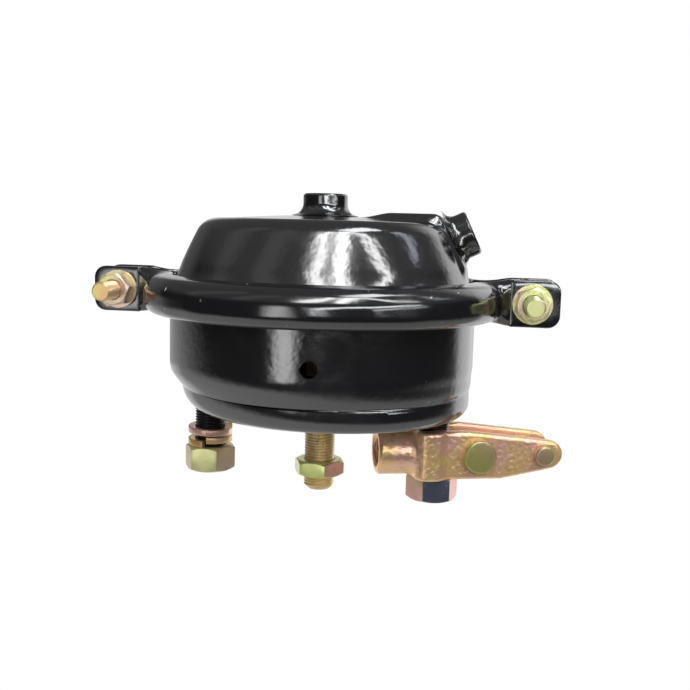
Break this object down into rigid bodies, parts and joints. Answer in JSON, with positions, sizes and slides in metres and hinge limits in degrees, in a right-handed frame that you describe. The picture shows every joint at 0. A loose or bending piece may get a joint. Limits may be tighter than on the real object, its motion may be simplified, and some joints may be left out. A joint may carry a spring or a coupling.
{
  "type": "air brake chamber",
  "caption": "Diaphragm air brake chamber: black pressed housings in a bolted clamp ring, with a sprung push rod, mounting studs and a forged yoke.",
  "frame": {"origin": "on the push rod's axis, in the plane of the mounting face", "axes": "+Z from the mounting face to the air inlet, so that the push rod moves towards -Z. +X through the right stud and towards the side port. -Y is the front, where the clamp nuts are"},
  "size_m": [0.2467, 0.185, 0.1571],
  "materials": {
    "housing_paint": "gloss",
    "band_paint": "gloss",
    "stud_steel": "satin",
    "zinc_yellow": "satin",
    "zinc_gold": "satin",
    "inner_steel": "satin",
    "spring_paint": "satin",
    "rubber": "matt"
  },
  "bodies": {
    "chamber": {"non_pressure_housing": "housing_paint", "pressure_housing": "housing_paint", "top_port_boss": "housing_paint", "side_port_boss": "housing_paint", "clamp_band_front": "band_paint", "clamp_band_rear": "band_paint", "clamp_bolt_left": "zinc_yellow", "clamp_bolt_right": "zinc_yellow", "clamp_washer_left": "zinc_yellow", "clamp_washer_right": "zinc_yellow", "clamp_nut_left": "zinc_yellow", "clamp_nut_right": "zinc_yellow", "stud_left": "stud_steel", "stud_right": "stud_steel", "stud_nut_left": "zinc_yellow", "stud_nut_right": "zinc_yellow", "lock_washer_lower": "zinc_gold", "lock_washer_upper": "zinc_gold", "diaphragm": "rubber", "reinforcement_plate": "inner_steel", "return_spring": "spring_paint"},
    "push_rod": {"push_plate": "inner_steel", "push_rod": "zinc_gold", "jam_nut": "zinc_gold"},
    "yoke": {"yoke": "zinc_gold"},
    "clevis_pin": {"clevis_pin": "zinc_yellow", "clevis_split_pin": "zinc_gold"},
    "link_pin": {"link_pin": "zinc_yellow", "link_split_pin": "zinc_gold"}
  },
  "joints": [
    {"name": "push_rod_slide", "type": "slide", "parent": "chamber", "child": "push_rod", "axis": [0, 0, -1], "range_m": [0, 0.057], "stiffness_N_per_m": 1500, "springref_m": -0.067, "deforming": ["return_spring", "diaphragm"]},
    {"name": "yoke_swivel", "type": "hinge", "parent": "chamber", "child": "yoke", "pos_m": [0.06032, 0, -0.0199], "axis": [0, 0, 1], "range_deg": [-152, 118]},
    {"name": "clevis_pin_turn", "type": "hinge", "parent": "yoke", "child": "clevis_pin", "pos_m": [0.07993, 0.00599, -0.0199], "axis": [-0.2924, 0.9563, 0], "continuous": true},
    {"name": "link_pin_turn", "type": "hinge", "parent": "yoke", "child": "link_pin", "pos_m": [0.1133, 0.0162, -0.0199], "axis": [-0.2924, 0.9563, 0], "continuous": true}
  ]
}
